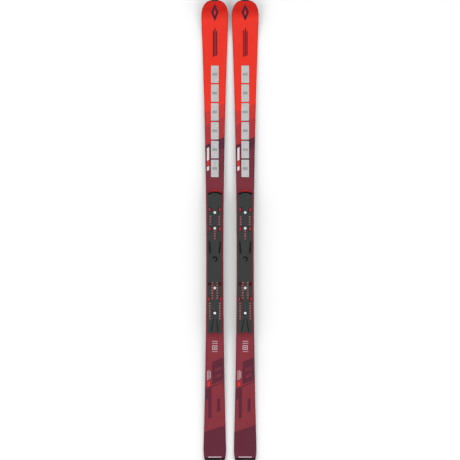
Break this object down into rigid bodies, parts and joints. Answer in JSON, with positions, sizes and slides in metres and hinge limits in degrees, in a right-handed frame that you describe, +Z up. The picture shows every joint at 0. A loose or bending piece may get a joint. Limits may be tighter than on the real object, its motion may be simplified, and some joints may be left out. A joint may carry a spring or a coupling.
{
  "type": "alpine race skis with binding plates",
  "caption": "Pair of alpine race skis with inlaid shock modules and long screwed-on binding plates that carry the drill patterns for toe and heel units.",
  "frame": {"origin": "on the ground, midway between the two skis and midway between tips and tails", "axes": "+Y towards the tips, +Z up from the bases, +X to the skier's right"},
  "size_m": [0.2266, 1.818, 0.0537],
  "materials": {
    "running_base": "stone-ground satin",
    "glass_laminate": "resin satin",
    "metal_sheet": "rolled satin",
    "wood_core": "raw planed",
    "end_filler": "moulded satin",
    "steel_edge": "machine-ground",
    "sidewall": "planed satin",
    "topsheet": "printed, lacquered",
    "tip_clip": "moulded satin",
    "tail_guard": "moulded satin",
    "elastomer": "matt",
    "red_elastomer": "matt",
    "plate": "moulded, fine grain",
    "black_rubber": "matt",
    "bright_screw": "bright zinc",
    "red_bush": "moulded",
    "red_plug": "moulded",
    "module_steel": "brushed"
  },
  "bodies": {
    "left_ski": {"left_base": "running_base", "left_lower_glass": "glass_laminate", "left_lower_titanal": "metal_sheet", "left_wood_core": "wood_core", "left_tail_filler": "end_filler", "left_tip_filler": "end_filler", "left_outer_edge": "steel_edge", "left_outer_sidewall": "sidewall", "left_inner_edge": "steel_edge", "left_inner_sidewall": "sidewall", "left_upper_titanal": "metal_sheet", "left_upper_glass": "glass_laminate", "left_topsheet": "topsheet", "left_tip_protector": "tip_clip", "left_tail_protector": "tail_guard", "left_module_beds": "elastomer", "left_plate_underlay": "red_elastomer", "left_binding_plate": "plate", "left_plate_front_lip": "black_rubber", "left_plate_screws": "bright_screw", "left_drill_bushes": "red_bush", "left_guide_plugs": "red_plug", "left_grommets": "black_rubber"},
    "left_module_1": {"left_module_1": "module_steel"},
    "left_module_2": {"left_module_2": "module_steel"},
    "left_module_3": {"left_module_3": "module_steel"},
    "left_module_4": {"left_module_4": "module_steel"},
    "left_module_5": {"left_module_5": "module_steel"},
    "left_module_6": {"left_module_6": "module_steel"},
    "right_ski": {"right_base": "running_base", "right_lower_glass": "glass_laminate", "right_lower_titanal": "metal_sheet", "right_wood_core": "wood_core", "right_tail_filler": "end_filler", "right_tip_filler": "end_filler", "right_outer_edge": "steel_edge", "right_outer_sidewall": "sidewall", "right_inner_edge": "steel_edge", "right_inner_sidewall": "sidewall", "right_upper_titanal": "metal_sheet", "right_upper_glass": "glass_laminate", "right_topsheet": "topsheet", "right_tip_protector": "tip_clip", "right_tail_protector": "tail_guard", "right_module_beds": "elastomer", "right_plate_underlay": "red_elastomer", "right_binding_plate": "plate", "right_plate_front_lip": "black_rubber", "right_plate_screws": "bright_screw", "right_drill_bushes": "red_bush", "right_guide_plugs": "red_plug", "right_grommets": "black_rubber"},
    "right_module_1": {"right_module_1": "module_steel"},
    "right_module_2": {"right_module_2": "module_steel"},
    "right_module_3": {"right_module_3": "module_steel"},
    "right_module_4": {"right_module_4": "module_steel"},
    "right_module_5": {"right_module_5": "module_steel"},
    "right_module_6": {"right_module_6": "module_steel"}
  },
  "joints": [
    {"name": "right_ski_slide", "type": "slide", "parent": "left_ski", "child": "right_ski", "axis": [0, 1, 0], "range_m": [-0.4, 0.4]},
    {"name": "left_module_1_shear", "type": "slide", "parent": "left_ski", "child": "left_module_1", "axis": [0, 0.9998, -0.0195], "range_m": [-0.0005, 0.0005], "stiffness_N_per_m": 2000},
    {"name": "left_module_2_shear", "type": "slide", "parent": "left_ski", "child": "left_module_2", "axis": [0, 0.9998, -0.0195], "range_m": [-0.0005, 0.0005], "stiffness_N_per_m": 2000},
    {"name": "left_module_3_shear", "type": "slide", "parent": "left_ski", "child": "left_module_3", "axis": [0, 0.9998, -0.0195], "range_m": [-0.0005, 0.0005], "stiffness_N_per_m": 2000},
    {"name": "left_module_4_shear", "type": "slide", "parent": "left_ski", "child": "left_module_4", "axis": [0, 0.9998, -0.0195], "range_m": [-0.0005, 0.0005], "stiffness_N_per_m": 2000},
    {"name": "left_module_5_shear", "type": "slide", "parent": "left_ski", "child": "left_module_5", "axis": [0, 0.9998, -0.0195], "range_m": [-0.0005, 0.0005], "stiffness_N_per_m": 2000},
    {"name": "left_module_6_shear", "type": "slide", "parent": "left_ski", "child": "left_module_6", "axis": [0, 0.9998, -0.0195], "range_m": [-0.0005, 0.0005], "stiffness_N_per_m": 2000},
    {"name": "right_module_1_shear", "type": "slide", "parent": "right_ski", "child": "right_module_1", "axis": [0, 0.9998, -0.0195], "range_m": [-0.0005, 0.0005], "stiffness_N_per_m": 2000},
    {"name": "right_module_2_shear", "type": "slide", "parent": "right_ski", "child": "right_module_2", "axis": [0, 0.9998, -0.0195], "range_m": [-0.0005, 0.0005], "stiffness_N_per_m": 2000},
    {"name": "right_module_3_shear", "type": "slide", "parent": "right_ski", "child": "right_module_3", "axis": [0, 0.9998, -0.0195], "range_m": [-0.0005, 0.0005], "stiffness_N_per_m": 2000},
    {"name": "right_module_4_shear", "type": "slide", "parent": "right_ski", "child": "right_module_4", "axis": [0, 0.9998, -0.0195], "range_m": [-0.0005, 0.0005], "stiffness_N_per_m": 2000},
    {"name": "right_module_5_shear", "type": "slide", "parent": "right_ski", "child": "right_module_5", "axis": [0, 0.9998, -0.0195], "range_m": [-0.0005, 0.0005], "stiffness_N_per_m": 2000},
    {"name": "right_module_6_shear", "type": "slide", "parent": "right_ski", "child": "right_module_6", "axis": [0, 0.9998, -0.0195], "range_m": [-0.0005, 0.0005], "stiffness_N_per_m": 2000}
  ]
}
